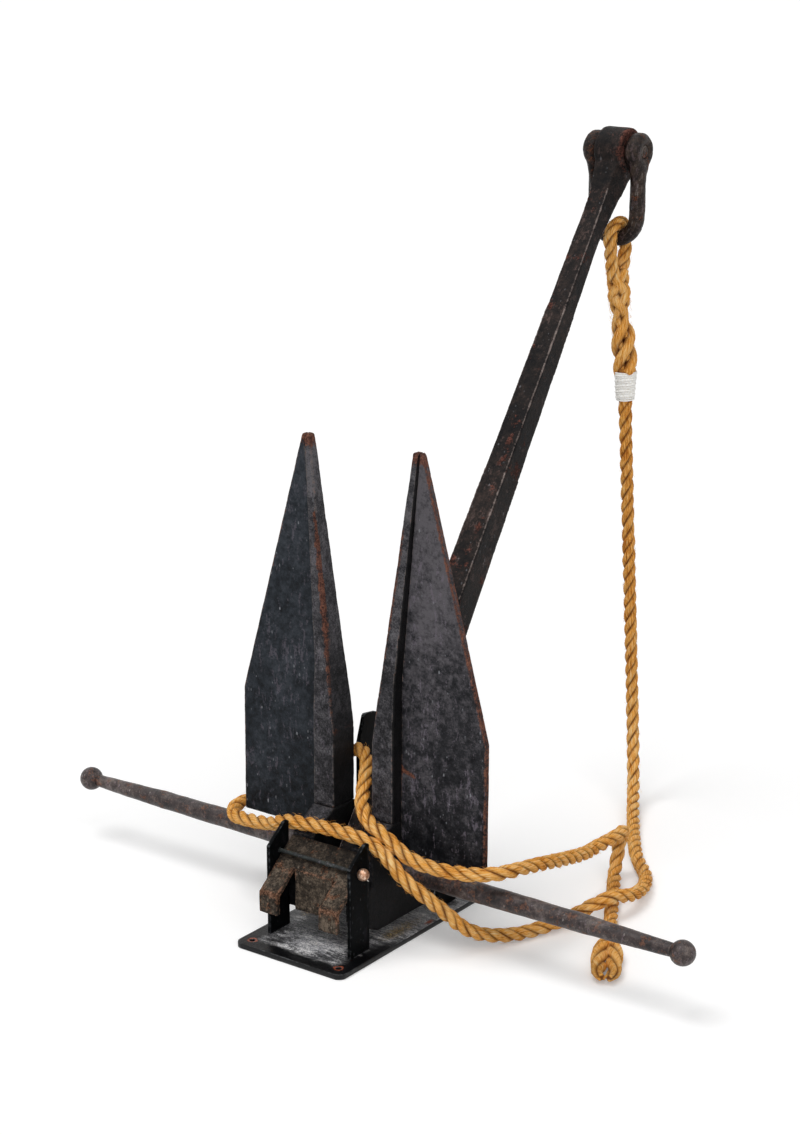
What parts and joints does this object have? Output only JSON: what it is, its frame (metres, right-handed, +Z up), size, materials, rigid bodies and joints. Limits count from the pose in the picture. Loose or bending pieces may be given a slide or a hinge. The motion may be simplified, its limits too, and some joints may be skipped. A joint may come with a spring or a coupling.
{
  "type": "anchor on display stand",
  "caption": "Black iron pivoting-fluke anchor standing upright on a small plate stand, shank leaning back, with a manila rope on its shackle.",
  "frame": {"origin": "centre of the base plate's underside, on the floor", "axes": "+Z up, +X along the stock to the right seen from the front, +Y to the back, where the shank leans"},
  "size_m": [0.9516, 0.7508, 0.9383],
  "materials": {
    "stand_paint": "gloss black paint on steel plate, scuffed",
    "anchor_paint": "worn matt black paint with rust on the edges",
    "rusty_iron": "pitted brown rust",
    "dark_iron": "dark forged iron, lightly rusted",
    "steel_rod": "blackened steel",
    "bright_steel": "bright wire",
    "copper": "worn copper",
    "manila": "three-strand manila rope",
    "white_twine": "white whipping twine"
  },
  "bodies": {
    "stand": {"base_plate": "stand_paint", "cotter_tip": "bright_steel", "crown_cheek_left": "anchor_paint", "crown_cheek_right": "anchor_paint", "crown_plate_front": "anchor_paint", "crown_plate_rear": "anchor_paint", "fluke_blade_left": "anchor_paint", "fluke_blade_right": "anchor_paint", "fluke_rib_left": "anchor_paint", "fluke_rib_right": "anchor_paint", "front_pin": "steel_rod", "front_pin_head": "copper", "front_upright_left": "stand_paint", "front_upright_right": "stand_paint", "rear_pin": "steel_rod", "rear_pin_head": "copper", "rear_upright_left": "stand_paint", "rear_upright_right": "stand_paint", "rope_end": "manila", "rope_run": "manila", "stock_ball_left": "rusty_iron", "stock_ball_right": "rusty_iron", "stock_rod": "rusty_iron"},
    "shank": {"shank": "anchor_paint"},
    "shackle": {"shackle": "dark_iron", "shackle_pin": "dark_iron", "rope_eye": "manila", "rope_splice": "manila", "rope_whipping": "white_twine"}
  },
  "joints": [
    {"name": "shank_tilt", "type": "hinge", "parent": "stand", "child": "shank", "pos_m": [0, 0, 0.0852], "axis": [1, 0, 0], "range_deg": [0, 66], "deforming": ["rope_run"]},
    {"name": "shackle_swing", "type": "hinge", "parent": "shank", "child": "shackle", "pos_m": [0, 0.56784, 0.90834], "axis": [1, 0, 0], "range_deg": [-8, 110], "deforming": ["rope_run"]}
  ]
}
